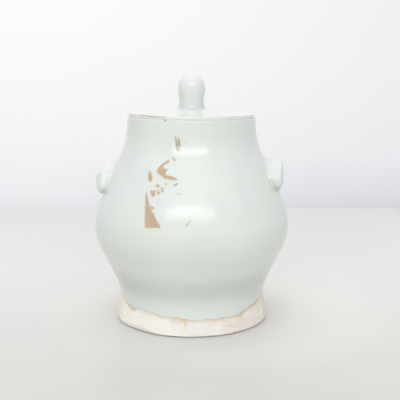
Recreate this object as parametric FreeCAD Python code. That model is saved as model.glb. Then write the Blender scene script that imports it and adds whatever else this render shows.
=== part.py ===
"""Covered ceramic jar: a thrown pot on a hollow splayed foot, with two ears and a flush lid.

Millimetres, +Z up. The origin is on the jar's axis, in the plane that the foot stands on.
The ears lie on +X and -X.
"""
import FreeCAD, Part
import math
import os

# Foot, a hollow ring that widens to the ground
foot_radius = 71.6
foot_height = 26.0
foot_wall = 8.0
foot_edge_bevel = 1.4

# Outer outline of the pot, given by the corners that its curves round off;
# the neck's corner is measured down from the rim
waist_radius = 65.3
waist_height = 27.6
belly_radius = 92.2
belly_height = 82.9
shoulder_radius = 84.1
shoulder_height = 110.9
neck_radius = 60.0
neck_depth = 22.6
rim_radius = 58.2
rim_height = 186.2
rim_edge_bevel = 1.0

# How much of the shorter leg beside each corner its arc takes: waist, belly, shoulder, neck
outline_arc_shares = (0.42, 0.56, 0.32, 0.5)

# Wall, floor and the seam where the two thrown sections are joined
pot_wall = 5.0
floor_thickness = 8.0
floor_arc_share = 0.2
seam_height = 79.5

# Ears, one on each side of the shoulder, narrower at the top than at the foot
ear_mid_height = 131.6
ear_height = 28.4
ear_projection = 11.0
ear_top_half_width = 26.0
ear_foot_half_width = 31.0
ear_top_arc_share = 0.47
ear_foot_arc_share = 0.51
ear_edge_round = 8.4

# Lid plate, which lies on the rim
lid_margin = 1.0
lid_edge_thickness = 3.3
lid_edge_bevel = 1.0
lid_under_bevel = 0.4
lid_dome_radius = 38.0
lid_dome_height = 4.0
lid_crown_radius = 19.5
lid_dome_arc_share = 0.3
lid_crown_thickness = 4.6
lid_hollow_radius = 36.0

# Collar under the lid, which drops into the mouth
collar_clearance = 1.2
collar_thickness = 4.0
collar_depth = 10.0
collar_taper = 0.8
collar_edge_bevel = 0.9

# Knob on the crown of the lid
knob_height = 31.8
knob_head_radius = 12.5
knob_head_height = 15.0
knob_neck_radius = 11.35
knob_neck_height = 6.7
knob_foot_radius = 13.4

# Surplus by which a cutting form passes the faces that it cuts
overrun = 4.0

# Two places nearer to each other than this are the same
same_place = 0.01

AXIS = FreeCAD.Vector(0, 0, 1)
CENTRE = FreeCAD.Vector(0, 0, 0)


def place(point):
    """The space point of an outline point (radius, height), in the plane of the ears."""
    return FreeCAD.Vector(point[0], 0, point[1])


def toward(start, end, length):
    """The point that lies a length from start on the way to end."""
    step = length / math.dist(start, end)
    return (start[0] + (end[0] - start[0]) * step, start[1] + (end[1] - start[1]) * step)


def share_reach(before, corner, after, share):
    """Length of leg that an arc takes at a corner, as a share of the shorter leg."""
    return share * min(math.dist(before, corner), math.dist(corner, after))


def rounded_edges(corners, reaches):
    """Lines along open corners, with a tangent arc at each inner one whose reach isn't zero."""
    edges = []
    start = corners[0]
    for i, reach in enumerate(reaches, 1):
        corner = corners[i]
        enter = toward(corner, corners[i - 1], reach)
        leave = toward(corner, corners[i + 1], reach)
        edges.append(Part.LineSegment(place(start), place(enter)).toShape())
        if reach > 0:
            half = math.dist(enter, leave) / 2
            rise = math.sqrt(reach ** 2 - half ** 2)
            middle = ((enter[0] + leave[0]) / 2, (enter[1] + leave[1]) / 2)
            top = toward(middle, corner, half * math.tan(math.asin(rise / reach) / 2))
            edges.append(Part.Arc(place(enter), place(top), place(leave)).toShape())
        start = leave
    edges.append(Part.LineSegment(place(start), place(corners[-1])).toShape())
    return edges


def closing_edge(edges):
    """The straight edge from the end of a run of edges back to its start."""
    return Part.LineSegment(edges[-1].Vertexes[-1].Point, edges[0].Vertexes[0].Point).toShape()


def turned(edges):
    """Solid made by turning a closed run of edges once round the axis."""
    return Part.Face(Part.Wire(edges)).revolve(CENTRE, AXIS, 360)


def slab(low, high):
    """Disc wider than the pot between two heights, for cutting it across."""
    return Part.makeCylinder(belly_radius + overrun, high - low, FreeCAD.Vector(0, 0, low))


def circle_edge(solid, radius, height):
    """The circular edge of a turned solid that has this radius and lies at this height."""
    for edge in solid.Edges:
        if isinstance(edge.Curve, Part.Circle):
            if math.dist((edge.Curve.Radius, edge.Curve.Center.z), (radius, height)) < same_place:
                return edge
    raise ValueError(f"no edge of radius {radius} at height {height}")


def inset_leg(start, end, distance):
    """The leg moved towards the axis, square to itself, for legs that run upward."""
    length = math.dist(start, end)
    shift = (-(end[1] - start[1]) * distance / length, (end[0] - start[0]) * distance / length)
    return ((start[0] + shift[0], start[1] + shift[1]), (end[0] + shift[0], end[1] + shift[1]))


def crossing(first, second):
    """The point where two legs, drawn out as far as needed, cross."""
    run = (first[1][0] - first[0][0], first[1][1] - first[0][1])
    way = (second[1][0] - second[0][0], second[1][1] - second[0][1])
    gap = (second[0][0] - first[0][0], second[0][1] - first[0][1])
    along = (gap[0] * way[1] - gap[1] * way[0]) / (run[0] * way[1] - run[1] * way[0])
    return (first[0][0] + run[0] * along, first[0][1] + run[1] * along)


def level(height):
    """A level leg at a height, for finding where another leg crosses it."""
    return ((0, height), (belly_radius, height))


pot_corners = [
    (foot_radius, 0),
    (waist_radius, waist_height),
    (belly_radius, belly_height),
    (shoulder_radius, shoulder_height),
    (neck_radius, rim_height - neck_depth),
    (rim_radius, rim_height),
]
floor_height = foot_height + floor_thickness
inner_legs = [inset_leg(start, end, pot_wall) for start, end in zip(pot_corners[1:], pot_corners[2:])]
mouth_radius = crossing(inner_legs[-1], level(rim_height))[0]
throat_radius = crossing(inner_legs[-1], level(rim_height - collar_depth))[0]
collar_radius = min(mouth_radius, throat_radius) - collar_clearance
lid_radius = rim_radius - lid_margin
crown_height = rim_height + lid_edge_thickness + lid_dome_height


def pot_form():
    """The pot's whole outside from the ground to the rim, as if it were solid."""
    reaches = [
        share_reach(*pot_corners[i:i + 3], share) for i, share in enumerate(outline_arc_shares)
    ]
    wall = rounded_edges(pot_corners, reaches)
    base = Part.LineSegment(CENTRE, place(pot_corners[0])).toShape()
    top = Part.LineSegment(place(pot_corners[-1]), place((0, rim_height))).toShape()
    edges = [base, *wall, top]
    return turned([*edges, closing_edge(edges)])


def pot_cavity():
    """The hollow inside the pot, from its floor up through the mouth."""
    corners = [(0, floor_height), crossing(inner_legs[0], level(floor_height))]
    corners += [crossing(low, high) for low, high in zip(inner_legs, inner_legs[1:])]
    corners.append(crossing(inner_legs[-1], level(rim_height + overrun)))
    shares = (floor_arc_share, *outline_arc_shares[1:])
    reaches = [share_reach(*corners[i:i + 3], share) for i, share in enumerate(shares)]
    wall = rounded_edges(corners, reaches)
    top = Part.LineSegment(place(corners[-1]), place((0, rim_height + overrun))).toShape()
    edges = [*wall, top]
    return turned([*edges, closing_edge(edges)])


def foot_ring(form):
    """Splayed ring under the floor, with an even wall and eased edges where it stands."""
    inner = inset_leg(pot_corners[0], pot_corners[1], foot_wall)
    low = crossing(inner, level(-overrun))
    high = crossing(inner, level(foot_height + overrun))
    recess = Part.makeCone(low[0], high[0], high[1] - low[1], place((0, -overrun)))
    ring = form.common(slab(0, foot_height)).cut(recess)
    radii = (foot_radius, crossing(inner, level(0))[0])
    return ring.makeChamfer(foot_edge_bevel, [circle_edge(ring, radius, 0) for radius in radii])


def lower_body(form, cavity):
    """Floor and lower wall, the first thrown section, from the foot to the seam."""
    return form.common(slab(foot_height, seam_height)).cut(cavity)


def upper_body(form, cavity):
    """Belly, shoulder, neck and rim, the second thrown section, with an eased rim."""
    section = form.common(slab(seam_height, rim_height)).cut(cavity)
    edges = [circle_edge(section, radius, rim_height) for radius in (rim_radius, mouth_radius)]
    return section.makeChamfer(rim_edge_bevel, edges)


def ear(form, turn):
    """Solid tongue on the shoulder with a soft edge all round, cut to the wall behind it."""
    top = ear_mid_height + ear_height / 2
    foot = ear_mid_height - ear_height / 2
    shoulder_leg = (pot_corners[3], pot_corners[4])
    face = crossing(shoulder_leg, level(ear_mid_height))[0] + ear_projection
    root = crossing(shoulder_leg, level(top))[0] - pot_wall
    corners = [
        (0, foot),
        (ear_foot_half_width, foot),
        (ear_top_half_width, top),
        (-ear_top_half_width, top),
        (-ear_foot_half_width, foot),
        (0, foot),
    ]
    shares = (ear_foot_arc_share, ear_top_arc_share, ear_top_arc_share, ear_foot_arc_share)
    reaches = [share * math.dist(corners[1], corners[2]) for share in shares]
    outline = Part.Face(Part.Wire(rounded_edges(corners, reaches)))
    outline.rotate(CENTRE, AXIS, 90)
    outline.translate(place((face, 0)))
    block = outline.extrude(place((root - face, 0)))
    rim = [edge for edge in block.Edges if edge.BoundBox.XMin > face - same_place]
    tongue = block.makeFillet(ear_edge_round, rim).cut(form)
    tongue.rotate(CENTRE, AXIS, turn)
    return tongue


def lid_plate():
    """Flat-edged plate with a low dome in the middle, hollowed under the dome."""
    seat = rim_height
    edge_top = rim_height + lid_edge_thickness
    hollow = crown_height - lid_crown_thickness
    corners = [
        (0, crown_height),
        (lid_crown_radius, crown_height),
        (lid_dome_radius, edge_top),
        (lid_radius, edge_top),
        (lid_radius, seat),
        (lid_hollow_radius, seat),
        (lid_crown_radius, hollow),
        (0, hollow),
    ]
    shares = (lid_dome_arc_share, lid_dome_arc_share, 0, 0, 0, 0)
    reaches = [share_reach(*corners[i:i + 3], share) for i, share in enumerate(shares)]
    edges = rounded_edges(corners, reaches)
    plate = turned([*edges, closing_edge(edges)])
    plate = plate.makeChamfer(lid_edge_bevel, [circle_edge(plate, lid_radius, edge_top)])
    return plate.makeChamfer(lid_under_bevel, [circle_edge(plate, lid_radius, seat)])


def lid_collar():
    """Tapered ring under the plate that keeps the lid on the mouth."""
    low = rim_height - collar_depth
    bore = collar_radius - collar_thickness
    tip = collar_radius - collar_taper
    corners = [(bore, rim_height), (bore, low), (tip, low), (collar_radius, rim_height)]
    edges = rounded_edges(corners, (0, 0))
    ring = turned([*edges, closing_edge(edges)])
    lower_edges = [circle_edge(ring, radius, low) for radius in (bore, tip)]
    return ring.makeChamfer(collar_edge_bevel, lower_edges)


def smooth_edge(points):
    """Bezier curve through the first and last points, drawn towards the points between them."""
    curve = Part.BezierCurve()
    curve.setPoles([place(point) for point in points])
    return curve


def lid_knob():
    """Acorn-shaped knob: half an ellipse on a drawn-in neck that spreads to its seat."""
    tip = crown_height + knob_height
    head = tip - knob_head_height
    neck = crown_height + knob_neck_height
    flank = (neck + head) / 2
    spread_radius = (knob_foot_radius + knob_neck_radius) / 2
    spread = smooth_edge([
        (knob_foot_radius, crown_height),
        (spread_radius, crown_height + knob_neck_height / 4),
        (knob_neck_radius, crown_height + knob_neck_height / 2),
        (knob_neck_radius, neck),
    ])
    swell = smooth_edge([
        (knob_neck_radius, neck),
        (knob_neck_radius, flank),
        (knob_head_radius, flank),
        (knob_head_radius, head),
    ])
    dome = smooth_edge([(knob_head_radius, head), (knob_head_radius, tip), (0, tip)])
    dome.setWeight(2, math.sqrt(0.5))
    seat = Part.LineSegment(place((0, crown_height)), place((knob_foot_radius, crown_height)))
    edges = [curve.toShape() for curve in (seat, spread, swell, dome)]
    return turned([*edges, closing_edge(edges)])


def main():
    form = pot_form()
    cavity = pot_cavity()
    parts = {
        "foot_ring": foot_ring(form),
        "lower_body": lower_body(form, cavity),
        "upper_body": upper_body(form, cavity),
        "left_ear": ear(form, 180),
        "right_ear": ear(form, 0),
        "lid_plate": lid_plate(),
        "lid_collar": lid_collar(),
        "lid_knob": lid_knob(),
    }
    os.makedirs("parts", exist_ok=True)
    for name, shape in parts.items():
        shape.exportStep(f"parts/{name}.step")
        print(f"{name}: {len(shape.Solids)} solid, {shape.Volume:.0f} mm3, valid {shape.isValid()}")


main()
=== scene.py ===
"""Covered ceramic jar: pale celadon glaze over cream clay, two ears and a lift-off lid with a knob.

Metres, +Z up. The origin is on the jar's axis, in the plane that the foot stands on.
The ears lie on +X and -X, and the side that faces the camera looks along -Y.
"""

import math

import bpy
import numpy as np
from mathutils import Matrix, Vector
from mathutils.geometry import delaunay_2d_cdt


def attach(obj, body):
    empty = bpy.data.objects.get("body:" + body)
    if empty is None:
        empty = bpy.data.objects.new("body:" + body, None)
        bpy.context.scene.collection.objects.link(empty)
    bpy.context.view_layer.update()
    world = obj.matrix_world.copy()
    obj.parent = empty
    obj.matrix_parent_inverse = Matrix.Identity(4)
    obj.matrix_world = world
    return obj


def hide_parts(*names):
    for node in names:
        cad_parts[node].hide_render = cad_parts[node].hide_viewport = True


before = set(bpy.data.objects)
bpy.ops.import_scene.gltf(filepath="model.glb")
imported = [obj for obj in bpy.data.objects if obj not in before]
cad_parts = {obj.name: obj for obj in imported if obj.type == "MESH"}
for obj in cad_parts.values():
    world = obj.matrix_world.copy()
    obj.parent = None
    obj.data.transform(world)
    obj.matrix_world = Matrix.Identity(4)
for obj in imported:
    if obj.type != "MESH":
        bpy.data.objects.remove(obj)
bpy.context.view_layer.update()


# Pot: two thrown sections of stoneware joined at the belly, dipped upside down in celadon glaze.
# The glaze ran and stopped in a wavy line on the foot, where it ends in a rolled, flashed edge.
# The rim was wiped bare for the firing, so that the lid wouldn't stick.
mm = 0.001
foot_radius = 71.6 * mm
waist_radius = 65.3 * mm
waist_height = 27.6 * mm
belly_radius = 92.2 * mm
belly_height = 82.9 * mm
shoulder_radius = 84.1 * mm
shoulder_height = 110.9 * mm
neck_radius = 60.0 * mm
neck_height = 163.6 * mm
rim_radius = 58.2 * mm
rim_height = 186.2 * mm
outline_arc_shares = (0.42, 0.56, 0.32, 0.50)
rim_round = 0.6 * mm
pot_wall = 5.0 * mm
pot_underside = 28.0 * mm
pot_floor = 34.0 * mm
floor_round = 11.0 * mm
seam_height = 79.5 * mm
glaze_thickness = 0.45 * mm
glaze_roll = 1.6 * mm
rim_lean = 0.0135
rim_chip_turn = 340.0
throwing_pitch = 2.1 * mm
throwing_depth = 0.09 * mm
dent_depth = 0.22 * mm
seam_rise = 0.16 * mm
ring_spacing = 1.1 * mm
inside_spacing = 3.0 * mm
pot_turns = 384
far_above = 99.0

# Where the glaze stops, as degrees round from the front and millimetres above the ground
glaze_line = (
    (-180, 17.0), (-152, 20.0), (-124, 16.5), (-96, 24.5), (-76, 24.0), (-60, 21.7), (-54, 18.0),
    (-40, 18.4), (-30, 17.8), (-20, 15.8), (-9, 15.7), (-4, 14.6), (0, 14.7), (3, 13.5), (14, 14.2),
    (24, 14.5), (36, 14.7), (41, 15.0), (47, 17.3), (51, 18.7), (60, 19.9), (76, 24.0), (97, 25.0),
    (124, 18.0), (151, 16.0), (180, 17.0),
)

# How strongly that edge is flashed orange, and how much of it is smoked brown, by degrees
flashed = (
    (-180, 0.5), (-100, 0.7), (-72, 0.35), (-62, 0.7), (-56, 1.0), (-46, 0.9), (-38, 0.45), (-28, 0.6),
    (-16, 0.55), (-10, 1.0), (-2, 0.9), (3, 0.4), (14, 0.7), (32, 0.8), (42, 0.95), (64, 0.95), (76, 0.3),
    (110, 0.7), (150, 0.4), (180, 0.5),
)
smoked = (
    (-180, 0.3), (-90, 0.2), (-64, 0.4), (-54, 0.7), (-44, 0.4), (-30, 0.9), (-18, 0.7), (-10, 0.1),
    (0, 0.2), (12, 0.5), (28, 0.3), (38, 0.6), (46, 1.0), (62, 1.0), (95, 0.3), (180, 0.3),
)


def rounded(corners, shares, steps=24):
    """Points along open corners, where each inner corner is an arc over its share of the shorter leg."""
    corners = [np.array(corner, float) for corner in corners]
    points = [corners[0]]
    for i, share in enumerate(shares, 1):
        corner = corners[i]
        legs = [corners[i - 1] - corner, corners[i + 1] - corner]
        lengths = [np.linalg.norm(leg) for leg in legs]
        enter, leave = (leg / length * share * min(lengths) for leg, length in zip(legs, lengths))
        weight = math.sin(math.acos(np.clip(enter @ leave / (enter @ enter), -1, 1)) / 2)
        for t in np.linspace(0, 1, steps):
            pull = 2 * weight * t * (1 - t)
            total = (1 - t) ** 2 + pull + t ** 2
            points.append(corner + ((1 - t) ** 2 * enter + t ** 2 * leave) / total)
    points.append(corners[-1])
    return np.array(points)


def evened(points, spacing):
    """The same line with its points evenly spaced, at about this distance."""
    lengths = np.r_[0, np.cumsum(np.linalg.norm(np.diff(points, axis=0), axis=1))]
    places = np.linspace(0, lengths[-1], math.ceil(lengths[-1] / spacing) + 1)
    return np.column_stack([np.interp(places, lengths, column) for column in points.T])


def uneven(points, size, seed, count=24):
    """Soft random rise and fall, mostly between -1 and 1, in humps of about this size."""
    draw = np.random.default_rng(seed)
    ways = draw.normal(size=(count, 3))
    ways /= np.linalg.norm(ways, axis=1, keepdims=True)
    ways *= math.tau / size * draw.uniform(0.6, 1.4, (count, 1))
    return np.sin(points @ ways.T + draw.uniform(0, math.tau, count)).sum(axis=-1) / math.sqrt(2 * count)


def eased(value, low, high):
    """0 below low, 1 above high, and a smooth rise between them."""
    share = np.clip((value - low) / (high - low), 0, 1)
    return share * share * (3 - 2 * share)


def all_round(count):
    """Angles from the front, evenly spaced once round, as one row."""
    return np.linspace(0, math.tau, count, endpoint=False)[None, :]


def around(radius, height, angle):
    """Points in space from radius, height and angle from the front."""
    radius, height, angle = np.broadcast_arrays(radius, height, angle)
    return np.stack([radius * np.sin(angle), -radius * np.cos(angle), height], axis=-1)


def read_round(table, angle):
    """A table's value at an angle from the front, with soft corners."""
    places, values = np.array(table).T
    degrees = (np.degrees(angle) + 180) % 360 - 180
    spot = np.clip(np.searchsorted(places, degrees, side="right") - 1, 0, len(places) - 2)
    share = (degrees - places[spot]) / (places[spot + 1] - places[spot])
    share = 0.5 * share + 0.5 * share * share * (3 - 2 * share)
    return values[spot] + (values[spot + 1] - values[spot]) * share


def placed(name, data):
    """An object of the scene that shows this mesh, lamp or camera."""
    made = bpy.data.objects.new(name, data)
    bpy.context.scene.collection.objects.link(made)
    return made


def skin(name, rings, painted=None, loop=False):
    """Closed smooth mesh through rings of points, with the ends closed at their middles or joined."""
    rows, count = rings.shape[:2]
    points = rings.reshape(-1, 3)
    index = np.arange(rows * count).reshape(rows, count)
    low, high = (index, np.roll(index, -1, axis=0)) if loop else (index[:-1], index[1:])
    quads = np.stack([low, np.roll(low, -1, axis=1), np.roll(high, -1, axis=1), high], axis=-1)
    faces = quads.reshape(-1, 4).tolist()
    if not loop:
        points = np.vstack([points, rings[0].mean(axis=0), rings[-1].mean(axis=0)])
        first, last = rows * count, rows * count + 1
        faces += [(first, b, a) for a, b in zip(index[0], np.roll(index[0], -1))]
        faces += [(a, b, last) for a, b in zip(index[-1], np.roll(index[-1], -1))]
    mesh = bpy.data.meshes.new(name)
    mesh.from_pydata(points.tolist(), [], faces)
    mesh.shade_smooth()
    for key, values in (painted or {}).items():
        values = np.broadcast_to(values, (rows, count)).astype(np.float32)
        ends = [] if loop else [values[0].mean(), values[-1].mean()]
        layer = mesh.attributes.new(key, "FLOAT", "POINT")
        layer.data.foreach_set("value", np.r_[values.ravel(), ends].astype(np.float32))
    return placed(name, mesh)


pot_corners = (
    (foot_radius, 0),
    (waist_radius, waist_height),
    (belly_radius, belly_height),
    (shoulder_radius, shoulder_height),
    (neck_radius, neck_height),
    (rim_radius, rim_height),
)
outline = evened(rounded(pot_corners, outline_arc_shares), 0.4 * mm)


def pot_radius(height):
    """Outside radius of the pot at a height."""
    return np.interp(height, outline[:, 1], outline[:, 0])


def line_height(angle):
    """Height at which the glaze stops, at an angle from the front."""
    ring = around(foot_radius, 0, angle)
    waver = 0.3 * uneven(ring, 14 * mm, 3) + 0.16 * uneven(ring, 4.5 * mm, 4)
    return (read_round(glaze_line, angle) + waver) * mm


def leaned(points):
    """The points with the rim's slight slope: the mouth was never quite level."""
    points = points.copy()
    points[..., 2] -= rim_lean * points[..., 0] * eased(points[..., 2], 120 * mm, rim_height)
    return points


angle = all_round(pot_turns)
line = line_height(angle)
full_height = 31 * mm
wall_line = evened(outline[outline[:, 1] > full_height], ring_spacing)
rim_turn = np.radians(np.arange(0, 91, 15))[:, None]

# The inside of the wall runs at an even distance from the outside, down to a rounded floor corner
along = np.gradient(outline, axis=0)
along /= np.linalg.norm(along, axis=1, keepdims=True)
inside = outline + pot_wall * np.column_stack([-along[:, 1], along[:, 0]])
inside = inside[(inside[:, 1] > pot_floor + floor_round) & (inside[:, 1] < rim_height - rim_round)]
inside = evened(inside[::-1], inside_spacing)
corner_turn = np.radians(np.arange(15, 91, 15))

# The glaze swells to a roll just above its edge, and from there up it has its full thickness
above = np.array([0, 0.04, 0.12, 0.25, 0.45, 0.75, 1.1, 1.6, 2.2, 3.0, 4.0, 5.5])[:, None] * mm
skirt_height = line + above
thick = np.sqrt(1 - (1 - np.clip(above / glaze_roll, 0, 1)) ** 2)
roll = 0.3 * np.exp(-((above - glaze_roll) / (1.1 * mm)) ** 2)
roll = roll * (1 + 0.5 * uneven(around(foot_radius, 0, angle), 9 * mm, 5))
skirt_radius = pot_radius(skirt_height) + glaze_thickness * (thick - 1 + roll)
climb_share = np.linspace(0.15, 1, 12)[:, None]
climb_height = skirt_height[-1] + (full_height - skirt_height[-1]) * climb_share

# All the rings in order: under the floor, up the outside, over the rim, and down to the floor
underside_radii = (12 * mm, 40 * mm, pot_radius(pot_underside) - 2 * mm)
parts = [around(radius, pot_underside, angle) for radius in underside_radii]
sunk = glaze_thickness + 0.6 * mm
parts += [around(pot_radius(line + rise) - sunk, line + rise, angle) for rise in (3 * mm, 0)]
hidden_rows = len(parts)
parts += list(around(skirt_radius, skirt_height, angle))
parts += list(around(pot_radius(climb_height), climb_height, angle))
parts += [around(radius, height, angle) for radius, height in wall_line[1:-2]]
wall_rows = len(parts)
outer_lip = rim_radius - rim_round + rim_round * np.cos(rim_turn)
outer_lip = outer_lip + (pot_radius(rim_height - rim_round) - rim_radius) * (1 - np.sin(rim_turn))
mouth_radius = inside[0, 0]
lip_height = rim_height - rim_round + rim_round * np.sin(rim_turn)
parts += [around(radius, height, angle) for radius, height in zip(outer_lip, lip_height)]
inner_lip = (mouth_radius + rim_round - rim_round * np.cos(rim_turn))[::-1]
parts += [around(radius, height, angle) for radius, height in zip(inner_lip, lip_height[::-1])]
lip_rows = len(parts)
parts += [around(radius, height, angle) for radius, height in inside[1:]]
flat_floor = inside[-1, 0] - floor_round
for turn in corner_turn:
    height = pot_floor + floor_round * (1 - math.sin(turn))
    parts.append(around(flat_floor + floor_round * math.cos(turn), height, angle))
parts += [around(flat_floor * share, pot_floor, angle) for share in (0.85, 0.7, 0.55, 0.4, 0.25, 0.1)]
rings = np.array([np.broadcast_to(part.reshape(-1, 3), (pot_turns, 3)) for part in parts])

# Throwing rings, the seam and a little lack of roundness, all of them pressed in from the true outline
height = rings[..., 2]
outer = np.zeros(rings.shape[:2])
outer[hidden_rows + len(above):wall_rows] = 1
outer[lip_rows:] = 0.8
rise = height - 2.4 * mm * np.sin(angle + 0.8)
bands = 0.5 + 0.5 * np.sin(rise / throwing_pitch + 1.7 * np.sin(height / (17 * mm)))
groove = bands * eased(uneven(rings, 110 * mm, 6), -0.3, 1.0)
seam = np.exp(-((height - seam_height - 1.5 * mm) / (2.4 * mm)) ** 2)
seam = seam * (0.6 + 0.4 * uneven(rings, 60 * mm, 7))
dents = 0.5 + 0.5 * uneven(rings, 70 * mm, 8)
fade = eased(height, 26 * mm, 40 * mm) * (1 - eased(height, 176 * mm, 183 * mm))
press = (throwing_depth * groove + dent_depth * dents - seam_rise * seam) * fade * outer
flat_length = np.maximum(np.linalg.norm(rings[..., :2], axis=-1, keepdims=True), 1 * mm)
rings[..., :2] -= rings[..., :2] / flat_length * press[..., None]
rings = leaned(rings)

row = np.arange(len(rings))[:, None]
on_outside, before_inside = row < wall_rows, row < lip_rows
bare_rim = eased(height, rim_height - 0.55 * mm, rim_height - 0.15 * mm) * before_inside * ~on_outside
chip = np.exp(-((np.degrees(angle) - rim_chip_turn) / 0.9) ** 2)
chip = chip * eased(height, rim_height - 1.9 * mm, rim_height - 0.4 * mm)
# The darker band round the waist is partly glaze pooled in the hollow and partly painted shade, where the
# wall turns down under the belly
waist_pooling_and_painted_shade = eased(-height, -58 * mm, -42 * mm) * eased(height, 23 * mm, 37 * mm)
pot = skin("glazed_pot", rings, {
    "above_line": np.where(on_outside, (height - line) / mm, far_above),
    "bare": bare_rim * (0.75 + 0.25 * uneven(rings, 11 * mm, 9)),
    "pooled": 0.85 * waist_pooling_and_painted_shade * on_outside,
    "mark": 0.8 * chip * before_inside,
    "flash": read_round(flashed, angle),
    "smoke": read_round(smoked, angle),
})


def node(tree, kind, inputs=None, **settings):
    """One node of a finish. An input is a value, or the output of another node."""
    made = tree.nodes.new("ShaderNode" + kind)
    for key, value in settings.items():
        setattr(made, key, value)
    for key, value in (inputs or {}).items():
        if isinstance(value, bpy.types.NodeSocket):
            tree.links.new(value, made.inputs[key])
        else:
            made.inputs[key].default_value = value
    return made


def blotches(tree, size, detail=2.0, roughness=0.5):
    """Random soft patches of about this size, from 0 to 1."""
    place = node(tree, "TexCoord").outputs["Object"]
    inputs = {"Vector": place, "Scale": 1 / size, "Detail": detail, "Roughness": roughness}
    return node(tree, "TexNoise", inputs).outputs["Fac"]


def stretched(tree, value, low, high, to_low=0.0, to_high=1.0):
    """The value's range from low to high drawn out to another range, and clipped there."""
    inputs = {"Value": value, "From Min": low, "From Max": high, "To Min": to_low, "To Max": to_high}
    return node(tree, "MapRange", inputs).outputs["Result"]


def sum_of(tree, operation, first, second):
    """Two values put together, by adding, multiplying or the like."""
    return node(tree, "Math", {0: first, 1: second}, operation=operation).outputs[0]


def dots(tree, spacing, rarity, largest, channel=0):
    """Scattered round dots: 1 inside a dot and 0 elsewhere.

    The rarity is the share of places with no dot, and the largest radius is a share of the spacing.
    """
    place = node(tree, "TexCoord").outputs["Object"]
    cells = node(tree, "TexVoronoi", {"Vector": place, "Scale": 1 / spacing}, feature="F1")
    chance = node(tree, "SeparateColor", {0: cells.outputs["Color"]}).outputs[channel]
    radius = stretched(tree, chance, rarity, 1.0, 0.0, largest)
    return sum_of(tree, "LESS_THAN", cells.outputs["Distance"], radius)


def tinted(tree, share, first, second):
    """A mix of two colours, where the share goes from the first to the second."""
    made = node(tree, "Mix", {"Factor": share}, data_type="RGBA", clamp_factor=True)
    for socket, colour in zip((made.inputs[6], made.inputs[7]), (first, second)):
        if isinstance(colour, bpy.types.NodeSocket):
            tree.links.new(colour, socket)
        else:
            socket.default_value = (*colour, 1)
    return made.outputs[2]


def layer(tree, name):
    """A value painted on the piece's own points."""
    return node(tree, "Attribute", attribute_name=name).outputs["Fac"]


def new_finish(name):
    """An empty node tree with its surface, and the material that holds it."""
    material = bpy.data.materials.new(name)
    material.use_nodes = True
    tree = material.node_tree
    tree.nodes.clear()
    surface = node(tree, "BsdfPrincipled")
    node(tree, "OutputMaterial", {"Surface": surface.outputs[0]})
    return material, tree, surface


def join(tree, output, shader, key):
    """Feeds an output into the surface's input of this name."""
    tree.links.new(output, shader.inputs[key])


def glaze_finish(name, thin, thick, roughness=(0.15, 0.23)):
    """Glossy celadon glaze: deeper where it pooled, with pinholes, specks and a flashed lower edge."""
    clay, iron, broken = (0.73, 0.72, 0.66), (0.36, 0.31, 0.24), (0.17, 0.13, 0.09)
    flash, burnt = (0.64, 0.36, 0.16), (0.36, 0.28, 0.21)
    material, tree, surface = new_finish(name)
    clouds = stretched(tree, blotches(tree, 55 * mm, 3), 0.35, 0.65, 0.0, 0.35)
    place = node(tree, "TexCoord").outputs["Object"]
    wide = node(tree, "Mapping", {"Vector": place, "Scale": (0.25, 0.25, 1.0)}).outputs[0]
    bands = node(tree, "TexNoise", {"Vector": wide, "Scale": 1 / (9 * mm), "Detail": 2.0}).outputs["Fac"]
    depth = sum_of(tree, "ADD", clouds, stretched(tree, bands, 0.3, 0.7, 0.0, 0.14))
    depth = sum_of(tree, "ADD", depth, layer(tree, "pooled"))
    colour = tinted(tree, sum_of(tree, "DIVIDE", depth, 1.5), thin, thick)
    specks = dots(tree, 7 * mm, 0.86, 0.05)
    colour = tinted(tree, sum_of(tree, "MULTIPLY", specks, 0.55), colour, iron)

    # The lower edge is flashed over a ragged width of up to 3 mm
    ragged = stretched(tree, blotches(tree, 6 * mm, 3), 0.3, 0.7, 0.7, 3.0)
    across = sum_of(tree, "DIVIDE", layer(tree, "above_line"), ragged)
    edge = stretched(tree, across, 0.0, 1.0, 1.0, 0.0)
    patchy = stretched(tree, blotches(tree, 5 * mm), 0.35, 0.6, 0.5, 1.0)
    strength = sum_of(tree, "MULTIPLY", layer(tree, "flash"), patchy)
    fired = tinted(tree, layer(tree, "smoke"), flash, burnt)
    colour = tinted(tree, sum_of(tree, "MULTIPLY", edge, strength), colour, fired)
    bare = layer(tree, "bare")
    colour = tinted(tree, bare, colour, clay)
    colour = tinted(tree, layer(tree, "mark"), colour, broken)
    join(tree, colour, surface, "Base Color")

    gloss = stretched(tree, blotches(tree, 18 * mm, 4), 0.3, 0.7, *roughness)
    rough = node(tree, "Mix", {"Factor": bare, 2: gloss, 3: 0.8}, data_type="FLOAT").outputs[0]
    join(tree, rough, surface, "Roughness")

    # Its surface has a slight orange peel, pinholes, and broader swells
    peel = sum_of(tree, "MULTIPLY", blotches(tree, 3.2 * mm, 1), 0.5)
    pinholes = dots(tree, 4.4 * mm, 0.8, 0.06, channel=1)
    relief = sum_of(tree, "SUBTRACT", peel, sum_of(tree, "MULTIPLY", pinholes, 1.2))
    relief = sum_of(tree, "ADD", relief, sum_of(tree, "MULTIPLY", blotches(tree, 16 * mm, 1), 1.6))
    bump = node(tree, "Bump", {"Height": relief, "Strength": 0.22, "Distance": 0.06 * mm})
    join(tree, bump.outputs[0], surface, "Normal")
    surface.inputs["IOR"].default_value = 1.5
    return material


celadon = glaze_finish("celadon_glaze", thin=(0.70, 0.73, 0.69), thick=(0.56, 0.61, 0.57))
pot.data.materials.append(celadon)
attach(pot, "jar")
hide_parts("lower_body", "upper_body")


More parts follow.
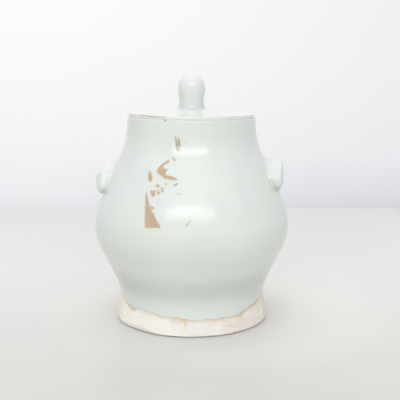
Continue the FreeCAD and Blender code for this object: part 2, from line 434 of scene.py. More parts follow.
# Foot: a hollow ring of the same cream clay, stuck under the floor with slip and left bare.
# It was trimmed with a knife, so its wall has shallow flats and its lower edge a slanting cut,
# and the standing edge is chipped. The fire flushed one side of it pink.
recess_radius = 56 * mm
foot_inner_radius = 63.4 * mm
recess_height = 26 * mm
clay_top = 28 * mm
foot_turns = 640
cut_slope = 0.42
crevice_height = 1.2 * mm
crevice_depth = 2.6 * mm
flat_depth = 0.24 * mm
lathe_depth = 0.05 * mm
scar_depth = 0.18 * mm
score_width, score_depth = 0.28 * mm, 0.12 * mm
chip_reach, chip_depth = 2.2 * mm, 1.6 * mm
ridge_turn, ridge_rise = 69.5, 0.25 * mm
groove_turn, groove_depth = 74, 0.7 * mm

# How high the slanting knife cut reaches round the lower edge, and two scored hairlines and a drip
# of glaze, all as degrees round from the front and millimetres above the ground
knife_cut = (
    (-180, 2.0), (-120, 4.5), (-88, 4.8), (-70, 4.2), (-60, 3.4), (-47, 5.0), (-33, 4.2), (-20, 1.2),
    (0, 1.0), (20, 1.0), (38, 1.6), (58, 2.6), (72, 4.2), (92, 5.4), (132, 4.2), (160, 1.4), (180, 2.0),
)
scored_lines = (((26.5, 8.7), (49, 2.95)), ((23, 8.2), (36, 7.4)))
drip_line, drip_width = ((-3.2, 12.2), (-0.6, 12.2)), 2.6 * mm


def stroke(angle, height, line, width):
    """How much a point lies on a drawn line of (degrees, millimetres) corners, from 0 to 1."""
    degrees = (np.degrees(angle) + 180) % 360 - 180
    places, heights = np.array(line).T
    middle = np.interp(degrees, places, heights) * mm
    within = (degrees > places[0]) & (degrees < places[-1])
    return np.exp(-((height - middle) / width) ** 2) * within


angle = all_round(foot_turns)
edge_ring = around(foot_radius, 0, angle)[0]
cut_height = read_round(knife_cut, angle) * mm + 0.5 * mm * uneven(edge_ring, 17 * mm, 21)[None, :]
cut_height = np.maximum(cut_height, 0.6 * mm)
chip = eased(uneven(edge_ring, 9 * mm, 22), 0.75, 1.3)[None, :]

outside_height = np.r_[0, 0.25, 0.5, 0.75, 0.95, 1.2, 1.6, np.linspace(2.1, 28, 60)][:, None] * mm
strokes = uneven(around(foot_radius, outside_height * 2.2, angle + outside_height / (60 * mm)), 19 * mm, 23)
lathe_lines = 1 + np.sin(outside_height / (0.55 * mm) + 0.6 * strokes)
bare_depth = flat_depth * np.abs(strokes) + lathe_depth * lathe_lines
under_cut = cut_slope * np.maximum(cut_height - outside_height, 0)
crevice = crevice_depth * np.clip(1 - outside_height / crevice_height, 0, 1) ** 0.7
crevice = crevice * (0.85 + 0.25 * uneven(edge_ring, 31 * mm, 25)[None, :])
chipped = np.clip(1 - outside_height / np.maximum(chip_reach * chip, 0.01 * mm), 0, 1) * (chip > 0)
under_glaze = eased(outside_height, line_height(angle) - 0.3 * mm, line_height(angle) + 0.6 * mm)
scored = sum(stroke(angle, outside_height, line, score_width) for line in scored_lines)
clay_depth = np.maximum(under_glaze * glaze_thickness, bare_depth * (1 - under_glaze))
clay_depth = clay_depth + under_cut + crevice + chip_depth * chipped + score_depth * scored

# An upright ridge of clay with a groove behind it, left where a trimming stroke ended
upright = eased(outside_height, 1.5 * mm, 4 * mm) * eased(-outside_height, -17 * mm, -12 * mm)
degrees = np.degrees(angle)
ridge = np.exp(-((degrees - ridge_turn) / 1.1) ** 2) * upright
groove = np.exp(-((degrees - groove_turn) / 1.4) ** 2) * upright
clay_radius = pot_radius(outside_height) - clay_depth + ridge_rise * ridge - groove_depth * groove

# All the rings in order: down the hollow inside, over the base, up the outside, and under the pot
inner_line = evened(rounded((
    (foot_inner_radius - 1.2 * mm, 0.5 * mm),
    (recess_radius, recess_height - 2 * mm),
    (12 * mm, recess_height),
), (0.3,)), 2 * mm)[::-1]
inside_rings = [around(radius, height, angle) for radius, height in inner_line]
base_rings = [around(radius, 0.02 * mm, angle) for radius in (foot_inner_radius, foot_radius - 4.5 * mm)]
outside_rings = list(around(clay_radius, outside_height, angle))
top_rings = [around(radius, clay_top, angle) for radius in (55 * mm, 25 * mm)]
parts = inside_rings + base_rings + outside_rings + top_rings
rings = np.array([np.broadcast_to(part.reshape(-1, 3), (foot_turns, 3)) for part in parts])
under = np.zeros(rings.shape[:2])
under[:len(inside_rings)] = 1
rings[..., 2] += scar_depth * uneven(rings, 13 * mm, 24) * under
before = np.zeros((len(inside_rings) + len(base_rings), foot_turns))
after = np.zeros((len(top_rings), foot_turns))
# The cut's tint is painted shade on the knife cut, which slants down and in; the pale ridge is a painted
# highlight, and the groove's share of the mark is painted shade, while the mark is also darker at the chips
# and along the scored hairlines
outside_layers = {
    "cut": eased(cut_height - outside_height, -0.2 * mm, 0.3 * mm),
    "mark": np.clip(chip_depth * chipped / (0.5 * mm) + 0.7 * scored + 0.8 * groove, 0, 1),
    "drip": stroke(angle, outside_height, drip_line, drip_width),
    "pale": ridge,
}
foot = skin("clay_foot", rings, {
    "below_line": (line_height(angle) - rings[..., 2]) / mm,
    "flash": read_round(flashed, angle),
    **{key: np.vstack([before, values, after]) for key, values in outside_layers.items()},
})


def clay_finish(name, yellow, cream, flush, flash):
    """Matt fired clay: cream, flushed pink on one side, with grog, trimming lines and old grime, painted
    shade on the knife cut and in the groove, and a painted highlight on the ridge.
    """
    material, tree, surface = new_finish(name)
    place = node(tree, "TexCoord").outputs["Object"]
    sides = node(tree, "SeparateXYZ", {0: place})
    wander = stretched(tree, blotches(tree, 26 * mm, 3), 0.3, 0.7, -14 * mm, 14 * mm)
    across = sum_of(tree, "ADD", sides.outputs["X"], wander)
    colour = tinted(tree, stretched(tree, across, -55 * mm, -10 * mm), yellow, cream)
    colour = tinted(tree, stretched(tree, across, 8 * mm, 52 * mm, 0.0, 0.8), colour, flush)
    mottle = stretched(tree, blotches(tree, 13 * mm, 4, 0.5), 0.36, 0.64, 0.0, 0.6)
    colour = tinted(tree, mottle, colour, (0.89, 0.875, 0.84))
    shade = stretched(tree, blotches(tree, 17 * mm, 3, 0.5), 0.52, 0.68, 0.0, 0.4)
    colour = tinted(tree, shade, colour, (0.69, 0.67, 0.62))

    below = layer(tree, "below_line")
    reach = stretched(tree, blotches(tree, 8 * mm, 3), 0.3, 0.72, 1.0, 5.0)
    halo = stretched(tree, sum_of(tree, "DIVIDE", below, reach), 0.0, 1.0, 1.0, 0.0)
    patchy = stretched(tree, blotches(tree, 9 * mm), 0.35, 0.6, 0.35, 1.0)
    halo = sum_of(tree, "MULTIPLY", sum_of(tree, "MULTIPLY", halo, patchy), layer(tree, "flash"))
    colour = tinted(tree, halo, colour, flash)
    colour = tinted(tree, sum_of(tree, "MULTIPLY", layer(tree, "drip"), 0.7), colour, (0.68, 0.55, 0.34))

    grog = dots(tree, 2.6 * mm, 0.8, 0.16)
    colour = tinted(tree, sum_of(tree, "MULTIPLY", grog, 0.25), colour, (0.42, 0.35, 0.27))

    rub = node(tree, "Mapping", {"Vector": place, "Rotation": (0.0, 0.12, 0.0), "Scale": (0.12, 0.12, 1.0)})
    scratches = node(tree, "TexNoise", {"Vector": rub.outputs[0], "Scale": 1 / (1.5 * mm), "Detail": 3.0})
    dirt = stretched(tree, scratches.outputs["Fac"], 0.56, 0.72, 0.0, 0.2)
    colour = tinted(tree, dirt, colour, (0.56, 0.49, 0.41))
    # The cut's tint is painted shade and the pale ridge a painted highlight; where the mark lies in the
    # groove it is painted shade
    trimmed = (
        ("cut", 0.3, (0.66, 0.65, 0.60)),
        ("pale", 0.8, (0.93, 0.92, 0.89)),
        ("mark", 0.5, (0.50, 0.42, 0.36)),
    )
    for key, share, tint in trimmed:
        colour = tinted(tree, sum_of(tree, "MULTIPLY", layer(tree, key), share), colour, tint)
    join(tree, colour, surface, "Base Color")
    join(tree, stretched(tree, blotches(tree, 7 * mm, 4), 0.3, 0.7, 0.62, 0.9), surface, "Roughness")

    fine = sum_of(tree, "MULTIPLY", blotches(tree, 0.9 * mm, 3), 0.6)
    relief = sum_of(tree, "ADD", fine, sum_of(tree, "MULTIPLY", scratches.outputs["Fac"], 1.2))
    relief = sum_of(tree, "SUBTRACT", relief, sum_of(tree, "MULTIPLY", grog, 0.5))
    bump = node(tree, "Bump", {"Height": relief, "Strength": 0.5, "Distance": 0.16 * mm})
    join(tree, bump.outputs[0], surface, "Normal")
    surface.inputs["Specular IOR Level"].default_value = 0.3
    return material


foot.data.materials.append(clay_finish(
    "cream_clay",
    yellow=(0.89, 0.865, 0.77),
    cream=(0.80, 0.77, 0.71),
    flush=(0.78, 0.68, 0.58),
    flash=(0.70, 0.50, 0.30),
))
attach(foot, "jar")
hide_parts("foot_ring")


# Ears: two solid tongues of clay pressed in a mould and luted to the shoulder, one each side.
# The glaze softened their edges and ran into a small hollow curve where they meet the wall.
ear_fillet = 1.7 * mm
ear_points = 168

# Half widths and heights of the ears' outlines in millimetres, from the foot up, each with the
# share of its legs that its corner's arc takes: the two were shaped by hand and differ
left_outline = ((15, 116.2, 0.45), (27, 122.5, 0.3), (22, 138.5, 0.3), (10, 145.4, 0.45))
right_outline = ((14, 119.2, 0.46), (30, 128, 0.42), (21, 146.6, 0.4))


def wall_distance(across, height):
    """How far the pot's wall stands from the plane through its axis, at a place across and up."""
    return np.sqrt(np.maximum(pot_radius(height) ** 2 - across ** 2, 0))


def ear(name, side, half_outline, ear_face, waist, top, flank, foot, seed):
    """One ear as rings from the buried root, up a hollow curve and the flank, and over the edge.

    The waist is how much narrower it is at its root. Top, flank and foot each give how deep the
    edge's round starts below the face, and how far in it ends, as a share of the way.
    """
    half_outline = np.array(half_outline)
    half, corner_shares = half_outline[:, :2] * mm, half_outline[:, 2]
    foot_level, top_level = half[0, 1], half[-1, 1]
    ear_height = top_level - foot_level
    corners = np.vstack([(0, foot_level), half, half[::-1] * (-1, 1), (0, foot_level)])
    loop = rounded(corners, np.r_[corner_shares, corner_shares[::-1]])
    keep = np.r_[True, np.linalg.norm(np.diff(loop, axis=0), axis=1) > 1e-7]
    loop = evened(loop[keep], np.linalg.norm(np.diff(loop, axis=0), axis=1).sum() / ear_points)[:-1]
    ahead = np.roll(loop, -1, axis=0) - np.roll(loop, 1, axis=0)
    ahead /= np.linalg.norm(ahead, axis=1, keepdims=True)
    outward = np.column_stack([ahead[:, 1], -ahead[:, 0]])
    for _ in range(6):
        outward = (np.roll(outward, 1, axis=0) + outward * 2 + np.roll(outward, -1, axis=0)) / 4

    middle = np.array((0, (foot_level + top_level) / 2 - 1.0 * mm))
    upward = (loop[:, 1] - middle[1]) / (ear_height / 2)
    to_top, to_foot = eased(upward, 0.4, 1.0), eased(-upward, 0.3, 0.95)
    depth, share = (
        flank[i] + (top[i] - flank[i]) * to_top + (foot[i] - flank[i]) * to_foot for i in (0, 1)
    )
    narrower = outward * (waist * outward[:, 0] ** 2)[:, None]
    root = loop - narrower
    stand = ear_face - wall_distance(*root.T)
    hollow = np.minimum(ear_fillet + 2.4 * mm * to_top, (0.3 - 0.18 * to_foot) * stand)
    depth = np.minimum(depth, 0.94 * (stand - 1.3 * hollow))
    rings = []

    def ring(place, distance):
        rings.append(np.column_stack([distance, place]))

    # Three rings buried in the wall, then the hollow curve that rises from it
    for spread, sunk in ((0.5, 2.4), (1.4, 1.6), (1.5, 0.5)):
        place = root + outward * (spread * hollow)[:, None]
        ring(place, wall_distance(*place.T) - sunk * mm)
    for turn in np.radians(np.arange(0, 106, 10.5)):
        place = root + outward * (hollow * (1 - math.sin(turn)))[:, None]
        ring(place, wall_distance(*place.T) - 0.05 * mm + hollow * (1 - math.cos(turn)))

    # The flank, the round over the edge, and the face in to its middle
    low, high = rings[-1][:, 0], ear_face - depth
    for part in (0.2, 0.4, 0.6, 0.8, 1.0):
        ring(root + narrower * (1 - (1 - part) ** 2), low + (high - low) * part)
    for turn in np.radians(np.arange(6, 91, 6)):
        place = loop + (middle - loop) * (share * (1 - math.cos(turn)))[:, None]
        ring(place, ear_face - depth * (1 - math.sin(turn)))
    for part in (0.25, 0.5, 0.75, 0.93):
        place = loop + (middle - loop) * (share + (1 - share) * part)[:, None]
        ring(place, np.full(len(loop), ear_face))

    # The face bows, the skin is uneven, and the glaze gathers in the hollow curve
    made = np.array(rings)
    bent = np.linalg.norm((made[..., 1:] - middle) / (half[:, 0].max(), ear_height / 2), axis=-1)
    made[..., 0] -= eased(made[..., 0], ear_face - 4 * mm, ear_face) * bent ** 2 * 0.8 * mm
    proud = eased(made[..., 0] - wall_distance(made[..., 1], made[..., 2]), 0, 4 * mm)
    made[..., 0] += 0.15 * mm * (uneven(made, 15 * mm, seed) - 1) * proud
    pooled = 0.45 * np.exp(-((np.arange(len(made)) - 6) / 3.2) ** 2)[:, None]
    made = np.stack([side * made[..., 0], side * -made[..., 1], made[..., 2]], axis=-1)
    painted = {"above_line": far_above, "bare": 0.0, "pooled": pooled - 0.1, "mark": 0.0}
    piece = skin(name, made[:, ::-1], painted)
    piece.data.materials.append(celadon)
    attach(piece, "jar")
    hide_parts(name.removeprefix("glazed_"))


ear("glazed_left_ear", -1, left_outline, ear_face=86.7 * mm, waist=0.9 * mm,
    top=(13.5 * mm, 0.97), flank=(8.0 * mm, 0.5), foot=(5.0 * mm, 0.55), seed=31)
ear("glazed_right_ear", 1, right_outline, ear_face=83.8 * mm, waist=1.0 * mm,
    top=(3.0 * mm, 0.25), flank=(5.5 * mm, 0.35), foot=(7.5 * mm, 0.7), seed=32)


# Lid plate: a thrown disc that lies flat on the rim, with a low dome to its middle.
# It was glazed with the jar. Its edge is thin and pale, and the glaze has flaked along one part.
lid_radius = 57.2 * mm
lid_top = 189.5 * mm
lid_dome_radius = 38 * mm
crown_radius = 19.5 * mm
crown_height = 193.5 * mm
lid_hollow_radius = 36 * mm
crown_thickness = 4.6 * mm
lid_edge_round = 0.5 * mm
lid_warp = 0.2 * mm
lid_trimming = 0.25 * mm
lid_turns = 384

# Where the glaze has flaked, as degrees round from the front and millimetres above the rim
flaked_line = ((-49, 2.9), (-42, 2.6), (-34, 2.2), (-27, 2.2), (-20, 2.3))
flake_width, flake_depth = 0.3 * mm, 0.35 * mm

angle = all_round(lid_turns)
edge_turn = np.radians(np.arange(-90, 91, 15))
half_edge = (lid_top - rim_height) / 2
rim_curve = np.column_stack([
    lid_radius - lid_edge_round * (1 - np.cos(edge_turn)) ** 0.8,
    rim_height + half_edge * (1 + np.sin(edge_turn)),
])
under_line = evened(rounded((
    (4 * mm, crown_height - crown_thickness),
    (crown_radius, crown_height - crown_thickness),
    (lid_hollow_radius, rim_height),
    (lid_radius - 2 * mm, rim_height),
), (0.3, 0.3)), 1.5 * mm)
top_line = evened(rounded((
    (lid_radius - 2 * mm, lid_top),
    (lid_dome_radius, lid_top),
    (crown_radius, crown_height),
    (4 * mm, crown_height),
), (0.45, 0.45)), 1.2 * mm)
lid_line = np.vstack([under_line, rim_curve, top_line])
reach = lid_line[:, :1]
rings = around(reach, lid_line[:, 1:], angle)
edge_ring = around(lid_radius, 0, angle)
edge_share = eased(reach, 30 * mm, lid_radius)
wave = uneven(edge_ring, 60 * mm, 41)
flaw = stroke(angle, rings[..., 2] - rim_height, flaked_line, flake_width)
flaw = flaw * eased(uneven(edge_ring, 12 * mm, 43), -1.1, 0.0)
rings[..., 2] += lid_warp * wave * edge_share * (rings[..., 2] > rim_height + 0.5 * half_edge)
press = lid_trimming * edge_share * (1 + uneven(edge_ring, 34 * mm, 42))
press = press + flake_depth * flaw * (reach > lid_radius - 1 * mm)
rings[..., :2] *= 1 - (press / np.maximum(reach, 1 * mm))[..., None]
rings[..., 2] -= rim_lean * rings[..., 0]
upper_side = (np.arange(len(rings)) >= len(under_line) + 3)[:, None]
near_knob = eased(-reach, -crown_radius - 3 * mm, -crown_radius + 3 * mm)
lid_plate = skin("glazed_lid", rings, {
    "above_line": far_above,
    "bare": ~upper_side,
    "pooled": 0.35 * near_knob * upper_side,
    "mark": 0.85 * flaw * (reach > lid_radius - 3 * mm),
})
white_celadon = glaze_finish(
    "pale_lid_glaze", thin=(0.725, 0.735, 0.705), thick=(0.62, 0.65, 0.61), roughness=(0.11, 0.17),
)
lid_plate.data.materials.append(white_celadon)
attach(lid_plate, "lid")
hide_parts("lid_plate")


# Collar: a ring thrown on the underside of the lid, which drops into the mouth and keeps the
# lid in its place. Its lower edge is bare, from standing in the kiln.
collar_radius = 52.0 * mm
collar_wall = 4.0 * mm
collar_foot = 176.2 * mm
collar_taper = 0.8 * mm
collar_round = 1.0 * mm
collar_warp = 0.15 * mm

collar_corners = (
    (collar_radius - collar_wall, rim_height + 0.4 * mm),
    (collar_radius - collar_wall, collar_foot),
    (collar_radius - collar_taper, collar_foot),
    (collar_radius, rim_height + 0.4 * mm),
)
corner_share = collar_round / (collar_wall - collar_taper)
collar_line = evened(rounded(collar_corners, (corner_share, corner_share)), 0.5 * mm)
rings = around(collar_line[:, :1], collar_line[:, 1:], angle)
rings[..., 2] += collar_warp * uneven(rings, 40 * mm, 51)
rings[..., 2] -= rim_lean * rings[..., 0]
collar = skin("glazed_collar", rings, {
    "above_line": far_above,
    "bare": eased(-collar_line[:, 1:], -collar_foot - 1.6 * mm, -collar_foot - 0.8 * mm),
    "pooled": 0.3,
    "mark": 0.0,
}, loop=True)
collar.data.materials.append(white_celadon)
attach(collar, "lid")
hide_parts("lid_collar")


# Knob: an acorn-shaped grip turned from a lump of clay and stuck on the crown of the lid.
# The glaze is thin over its crest and gathers in the hollow round its foot.
knob_height = 31.8 * mm
knob_head_radius = 12.5 * mm
knob_head_height = 15.0 * mm
knob_neck_radius = 11.35 * mm
knob_neck_height = 6.7 * mm
knob_foot_radius = 12.9 * mm
knob_fillet = 2.2 * mm
knob_trimming = 0.14 * mm
knob_turns = 160


def drawn(points, weights, steps=16):
    """Smooth curve from the first point to the last, drawn towards the points between them."""
    points, count = np.array(points, float), len(points) - 1
    curve = []
    for t in np.linspace(0, 1, steps):
        shares = [
            math.comb(count, i) * t ** i * (1 - t) ** (count - i) * weight
            for i, weight in enumerate(weights)
        ]
        curve.append(np.array(shares) @ points / sum(shares))
    return curve


knob_tip = crown_height + knob_height
head = knob_tip - knob_head_height
neck = crown_height + knob_neck_height
flank = (neck + head) / 2
fillet_end = knob_foot_radius + knob_fillet
knob_line = [(4 * mm, crown_height - 0.6 * mm), (fillet_end, crown_height - 0.4 * mm)]
knob_line += drawn([
    (fillet_end, crown_height - 0.02 * mm),
    (knob_foot_radius - 0.6 * mm, crown_height + 0.05 * mm),
    (knob_neck_radius + 0.2 * mm, crown_height + knob_neck_height / 4),
    (knob_neck_radius, neck),
], (1, 1.6, 1.4, 1))
knob_line += drawn([
    (knob_neck_radius, neck),
    (knob_neck_radius, flank),
    (knob_head_radius, flank),
    (knob_head_radius, head),
], (1, 1, 1, 1))[1:]
knob_line += drawn([
    (knob_head_radius, head),
    (knob_head_radius, knob_tip),
    (0, knob_tip),
], (1, 1, math.sqrt(2)), 28)[1:-1]
knob_line = np.array(knob_line)
angle = all_round(knob_turns)
rings = around(knob_line[:, :1], knob_line[:, 1:], angle)
press = knob_trimming * (1 + uneven(rings, 18 * mm, 61)) * eased(rings[..., 2], crown_height, neck)
rings[..., :2] *= 1 - (press / np.maximum(knob_line[:, :1], 2 * mm))[..., None]
rings[..., 2] -= rim_lean * rings[..., 0]
foot_hollow = eased(-rings[..., 2], -crown_height - 9 * mm, -crown_height - 1 * mm)
below_crest = eased(-rings[..., 2], 4 * mm - knob_tip, 16 * mm - knob_tip)
knob = skin("glazed_knob", rings, {
    "above_line": far_above,
    "bare": 0.0,
    "pooled": 0.6 * foot_hollow + 0.3 * below_crest,
    "mark": 0.0,
})
knob.data.materials.append(white_celadon)
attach(knob, "lid")
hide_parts("lid_knob")


# Scraps: what is left of a torn paper label on the shoulder, thin tan flakes with pale torn rims.
# They lie in the glaze's surface, and the grey flecks beside them are old glue and scratches.
label_turn = math.radians(2.5)
label_left = -39.5 * mm
label_foot = 98.3 * mm
paper_grid = 0.7 * mm
paper_sunk = 0.2 * mm
torn_step = 0.45 * mm
tear = 0.14 * mm
feather = 0.9 * mm

# Outlines in millimetres across and up from the label's lower left corner, seen from the front
tan_scraps = {
    "corner": (
        (0.4, 0.2), (14.0, 1.2), (12.6, 3.8), (10.2, 7.2), (8.4, 10.5), (6.9, 13.1), (5.6, 16.5),
        (4.5, 18.1), (3.7, 20.7), (2.9, 23.3), (2.3, 25.8), (1.5, 28.6), (0.9, 28.9), (0.6, 25.4),
        (0.3, 16.1),
    ),
    "ring_top": (
        (8.7, 32.9), (9.2, 34.5), (10.6, 35.6), (12.1, 35.1), (12.6, 33.6), (11.5, 32.5), (10.3, 33.3),
    ),
    "ring_right": (
        (13.1, 32.7), (14.1, 33.4), (15.5, 32.9), (16.4, 31.6), (15.8, 29.8), (14.3, 28.9), (13.5, 30.0),
        (14.6, 31.2),
    ),
    "ring_left": (
        (4.3, 29.1), (5.6, 30.3), (7.5, 29.8), (8.5, 31.0), (9.7, 30.3), (9.0, 28.7), (9.5, 27.3),
        (7.9, 26.0), (6.2, 25.1), (5.6, 26.9),
    ),
    "ring_low": ((10.4, 28.9), (11.8, 29.9), (13.4, 28.9), (12.4, 27.4), (10.7, 27.5)),
    "flake": (
        (4.0, 46.4), (3.0, 44.4), (2.5, 41.8), (2.6, 39.0), (4.0, 36.8), (6.1, 37.9), (6.7, 40.7),
        (5.6, 43.2), (4.7, 44.5),
    ),
    "crescent": (
        (20.7, 55.3), (18.1, 54.0), (15.9, 52.7), (14.2, 51.3), (12.6, 49.9), (11.0, 48.0), (9.8, 46.1),
        (11.2, 43.6), (14.1, 42.0), (16.1, 40.7), (17.9, 39.9), (22.1, 39.2), (27.2, 39.2), (27.9, 40.2),
        (25.0, 41.5), (22.6, 42.3), (20.2, 42.6), (18.2, 43.1), (17.6, 44.9), (18.2, 46.5), (19.4, 47.4),
        (18.3, 48.1), (16.7, 47.8), (15.2, 49.0), (15.9, 50.3), (17.1, 51.3), (19.7, 52.7), (20.9, 53.7),
    ),
    "strip": (
        (27.4, 71.9), (28.1, 73.8), (29.4, 72.3), (30.0, 70.2), (30.4, 67.2), (29.1, 65.5), (28.0, 66.0),
        (27.6, 69.1),
    ),
    "shred": ((17.0, 36.5), (18.1, 36.9), (18.9, 36.0), (18.3, 34.9), (17.4, 35.2)),
}
pale_scraps = {
    "strip_foot": ((27.8, 65.2), (29.3, 65.0), (30.1, 63.7), (28.9, 62.7), (27.8, 61.7), (27.1, 62.9)),
    "ring_middle": ((10.0, 30.6), (11.4, 31.9), (12.9, 31.1), (12.6, 30.1), (11.0, 30.1)),
    "crumb": ((10.3, 21.4), (11.5, 20.9), (11.2, 19.8), (10.1, 20.2)),
}
grey_flecks = {
    "wedge": ((5.0, 17.8), (6.6, 17.7), (8.7, 16.7), (8.1, 15.6), (6.1, 15.9)),
    "arm": ((22.9, 57.1), (24.0, 57.4), (25.6, 55.9), (26.4, 54.0), (24.9, 54.6)),
    "strip_side": (
        (25.1, 75.7), (25.6, 70.7), (26.2, 65.1), (27.2, 62.9), (27.6, 66.6), (27.2, 70.8), (26.4, 73.9),
    ),
    "crumb_1": ((24.5, 35.3), (25.8, 36.3), (27.8, 36.8), (27.5, 35.7), (26.0, 34.6), (24.8, 34.4)),
    "streak": ((27.3, 28.6), (30.1, 28.8), (30.2, 28.2), (27.5, 28.1)),
    "scratch": ((38.4, 8.0), (38.8, 7.6), (36.1, 4.4), (35.0, 2.5), (34.5, 2.9), (35.5, 5.0)),
    "dot_1": ((33.3, 69.5), (34.0, 70.0), (34.2, 69.2), (33.6, 68.8)),
    "dot_2": ((35.0, 71.9), (35.7, 71.8), (35.5, 71.0), (34.9, 71.3)),
    "dot_3": ((36.4, 69.7), (37.0, 69.4), (36.7, 68.9), (36.2, 69.1)),
}


def laid_on_pot(places):
    """Points on the pot's wall from places across and up, as seen from the front."""
    across, up = places.T
    radius = pot_radius(up)
    turn = label_turn + np.arcsin(np.clip(across / radius, -1, 1))
    return leaned(around(radius - paper_sunk, up, turn))


def scrap(name, corners, seed, thickness):
    """One thin flake that follows the wall, with a torn edge that feathers into it."""
    draw = np.random.default_rng(seed)
    corners = np.array(corners) * mm + (label_left, label_foot)
    edge = evened(np.vstack([corners, corners[:1]]), torn_step)[:-1]
    edge = edge + draw.normal(0, tear, edge.shape)
    low, high = edge.min(axis=0), edge.max(axis=0)
    columns, levels = (np.arange(low[i], high[i], paper_grid) for i in (0, 1))
    spots = [Vector(spot) for spot in edge] + [Vector((x, z)) for x in columns for z in levels]
    ring = [(i, (i + 1) % len(edge)) for i in range(len(edge))]
    flat, _, faces, _, _, _ = delaunay_2d_cdt(spots, ring, [list(range(len(edge)))], 1, 0.02 * mm)
    flat = np.array([tuple(spot) for spot in flat])
    gaps = np.array([np.linalg.norm(edge - spot, axis=1).min() for spot in flat])
    wall = laid_on_pot(flat)
    out = wall.copy()
    out[:, 2] = 0
    out /= np.linalg.norm(out, axis=1, keepdims=True)
    lift = paper_sunk + thickness * (0.55 + 0.45 * eased(gaps, 0, feather))
    count = len(flat)
    points = np.vstack([wall + out * lift[:, None], wall - out * 0.3 * mm])
    sides = set()
    for face in faces:
        sides.update(zip(face, face[1:] + face[:1]))
    rim = [(a, b) for a, b in sides if (b, a) not in sides]
    shell = [tuple(face) for face in faces]
    shell += [tuple(count + i for i in reversed(face)) for face in faces]
    shell += [(b, a, count + a, count + b) for a, b in rim]
    mesh = bpy.data.meshes.new(name)
    mesh.from_pydata(points.tolist(), [], shell)
    torn = mesh.attributes.new("torn", "FLOAT", "POINT")
    torn.data.foreach_set("value", np.r_[gaps, gaps * 0].astype(np.float32) / mm)
    return placed(name, mesh)


def paper_finish(name, dark, light, rim_colour, rim_reach):
    """Old paper with fibres, a pale torn rim and grey specks of glue along it."""
    material, tree, surface = new_finish(name)
    patches = stretched(tree, blotches(tree, 8 * mm, 4), 0.35, 0.65)
    colour = tinted(tree, patches, dark, light)
    fibres = stretched(tree, blotches(tree, 0.8 * mm, 4, 0.7), 0.4, 0.7, 0.0, 0.35)
    colour = tinted(tree, fibres, colour, [0.8 * part for part in dark])
    width = stretched(tree, blotches(tree, 3 * mm, 2), 0.35, 0.65, 0.1 * rim_reach, rim_reach)
    rim = stretched(tree, sum_of(tree, "DIVIDE", layer(tree, "torn"), width), 0.2, 1.0, 1.0, 0.0)
    grey = stretched(tree, blotches(tree, 2.1 * mm, 2), 0.52, 0.62)
    rim_tone = tinted(tree, grey, rim_colour, (0.40, 0.41, 0.36))
    colour = tinted(tree, sum_of(tree, "MULTIPLY", rim, 0.75), colour, rim_tone)
    join(tree, colour, surface, "Base Color")
    join(tree, stretched(tree, fibres, 0.0, 0.5, 0.6, 0.85), surface, "Roughness")
    bump = node(tree, "Bump", {"Height": fibres, "Strength": 0.4, "Distance": 0.05 * mm})
    join(tree, bump.outputs[0], surface, "Normal")
    return material


tan_paper = paper_finish("tan_paper", (0.50, 0.365, 0.245), (0.56, 0.415, 0.285), (0.60, 0.57, 0.44), 1.1)
pale_paper = paper_finish("pale_paper", (0.62, 0.58, 0.44), (0.68, 0.64, 0.52), (0.70, 0.68, 0.58), 0.6)
grey_glue = paper_finish("grey_glue", (0.38, 0.37, 0.31), (0.46, 0.46, 0.41), (0.55, 0.57, 0.51), 0.5)
kinds = (
    (tan_scraps, tan_paper, "paper_", 0.14 * mm),
    (pale_scraps, pale_paper, "pale_", 0.12 * mm),
    (grey_flecks, grey_glue, "grey_", 0.08 * mm),
)
seed = 70
for outlines, finish, prefix, thickness in kinds:
    for name, corners in outlines.items():
        seed += 1
        paper = scrap(prefix + name, corners, seed, thickness)
        paper.data.materials.append(finish)
        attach(paper, "jar")


# Room: a pale table with a plain wall behind its edge, both with painted shade and light in their tones,
# and a wide soft lamp in front and above.
half_room = 2.5
table_front = -2.5
table_back = 0.585
table_level = -0.1 * mm
table_round = 2 * mm
table_thickness = 0.03
wall_back = 0.72
wall_foot = -0.6
wall_top = 2.0


def sheet(name, line):
    """A plain sheet of the room, drawn out sideways from a line of (back, height) points."""
    points = [(x, y, z) for y, z in line for x in (-half_room, half_room)]
    faces = [(2 * i, 2 * i + 1, 2 * i + 3, 2 * i + 2) for i in range(len(line) - 1)]
    mesh = bpy.data.meshes.new(name)
    mesh.from_pydata(points, [], faces)
    made = placed(name, mesh)
    return made


def room_finish(name, roughness, specular):
    """A plain surface for the room, with the coordinates of its places."""
    material, tree, surface = new_finish(name)
    surface.inputs["Roughness"].default_value = roughness
    surface.inputs["Specular IOR Level"].default_value = specular
    sides = node(tree, "SeparateXYZ", {0: node(tree, "TexCoord").outputs["Object"]})
    return material, tree, surface, sides


table = sheet("table", (
    (table_front, table_level),
    (table_back, table_level),
    (table_back + table_round, -table_round),
    (table_back + table_round, -table_thickness),
))

# Darker and warmer near the camera, which is painted shade, cooler along the far edge, which is a painted
# reflection of the wall, and palest in a soft round about the jar, which is painted light over the jar's
# shadow on the table
table_top, tree, surface, sides = room_finish("pale_table_top", 0.42, 0.5)
# Painted shade: the table darkens towards the camera
painted_shade_fades_back = stretched(tree, sides.outputs["Y"], -0.2, 0.15)
tone = tinted(tree, painted_shade_fades_back, (0.60, 0.58, 0.555), (0.735, 0.72, 0.71))
# Painted reflection of the wall: the far edge of the table is cooler
far_painted_reflection = stretched(tree, sides.outputs["Y"], 0.36, 0.55)
tone = tinted(tree, far_painted_reflection, tone, (0.71, 0.70, 0.71))
clouds = stretched(tree, blotches(tree, 0.12, 3), 0.35, 0.65, 0.0, 0.35)
tone = tinted(tree, clouds, tone, (0.69, 0.67, 0.63))
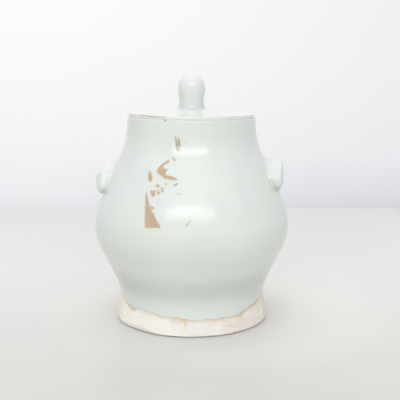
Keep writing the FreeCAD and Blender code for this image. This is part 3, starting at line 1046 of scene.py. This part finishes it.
# The soft round paler about the jar is painted light, laid over the shadow that the jar casts on the table
place = node(tree, "TexCoord").outputs["Object"]
spread = node(tree, "Mapping", {"Vector": place, "Location": (-0.15, -0.15, 0.0), "Scale": (4.8, 4.8, 4.8)})
middle = node(tree, "TexGradient", {"Vector": spread.outputs[0]}, gradient_type="SPHERICAL").outputs["Fac"]
tone = tinted(tree, stretched(tree, middle, 0.1, 0.6, 0.0, 0.9), tone, (0.765, 0.75, 0.72))
crumbs = dots(tree, 45 * mm, 0.86, 0.024)
tone = tinted(tree, sum_of(tree, "MULTIPLY", crumbs, 0.55), tone, (0.35, 0.31, 0.26))
join(tree, tone, surface, "Base Color")
table.data.materials.append(table_top)

# The wall's tones are painted shade: a little darker low down, darker to the right, and darkest in a band
# just above the table's edge, most of all on the right, where the table shades it
wall = sheet("wall", ((wall_back, wall_foot), (wall_back, wall_top)))
wall_tone_and_painted_shade, tree, surface, sides = room_finish("pale_wall_and_painted_shade", 0.7, 0.2)
painted_light_higher = stretched(tree, sides.outputs["Z"], 0.02, 0.34)
painted_shade_rightward = stretched(tree, sides.outputs["X"], -0.3, 0.35)
low = tinted(tree, painted_shade_rightward, (0.96, 0.935, 0.945), (0.90, 0.89, 0.905))
high = tinted(tree, painted_shade_rightward, (0.98, 0.97, 0.97), (0.90, 0.88, 0.885))
tone = tinted(tree, painted_light_higher, low, high)
painted_shade_near_edge = stretched(tree, sides.outputs["Z"], -0.03, 0.07, 1.0, 0.0)
painted_edge_shade_to_right = stretched(tree, sides.outputs["X"], -0.3, 0.35, 0.15, 0.9)
tone = tinted(tree, sum_of(tree, "MULTIPLY", painted_shade_near_edge, painted_edge_shade_to_right), tone, (0.74, 0.74, 0.76))
join(tree, tone, surface, "Base Color")
wall.data.materials.append(wall_tone_and_painted_shade)

world = bpy.data.worlds.new("room_light")
bpy.context.scene.world = world
world.use_nodes = True
fill = world.node_tree.nodes["Background"]
fill.inputs["Color"].default_value = (0.95, 0.975, 1.0, 1)
fill.inputs["Strength"].default_value = 0.74


def lamp(name, place, aim, size, power):
    """A flat soft lamp that shines from one place towards another."""
    data = bpy.data.lights.new(name, "AREA")
    data.shape = "RECTANGLE"
    data.size, data.size_y = size
    data.energy = power
    made = placed(name, data)
    made.location = place
    made.rotation_euler = (Vector(aim) - Vector(place)).to_track_quat("-Z", "Y").to_euler()
    return made


# Only the softbox is seen in the glaze: the other two stand for light that the room sends back
jar_middle = (0, 0, 0.11)
lamp("front_softbox", (0.0, -1.183, 0.82), jar_middle, size=(1.37, 0.23), power=5.3)
front_bounce = lamp("front_bounce", (0.0, -1.3, 0.2), jar_middle, size=(3.0, 0.5), power=4.6)
ceiling_bounce = lamp("ceiling_bounce", (-0.12, 0.1, 1.7), jar_middle, size=(1.5, 1.2), power=9.2)
for bounce in (front_bounce, ceiling_bounce):
    bounce.visible_glossy = False

camera_turn = math.radians(2.5)
camera_distance = 733.7 * mm
camera_height = 230.8 * mm
camera_pitch = math.radians(9.433)
camera_yaw = math.radians(0.60)
camera_data = bpy.data.cameras.new("camera")
camera_data.lens = 72.117
camera_data.sensor_width = 36
camera = placed("camera", camera_data)
camera.location = around(camera_distance, camera_height, camera_turn)
camera.rotation_euler = (math.pi / 2 - camera_pitch, 0, camera_turn - camera_yaw)
bpy.context.scene.camera = camera
bpy.context.scene.view_settings.view_transform = "Standard"
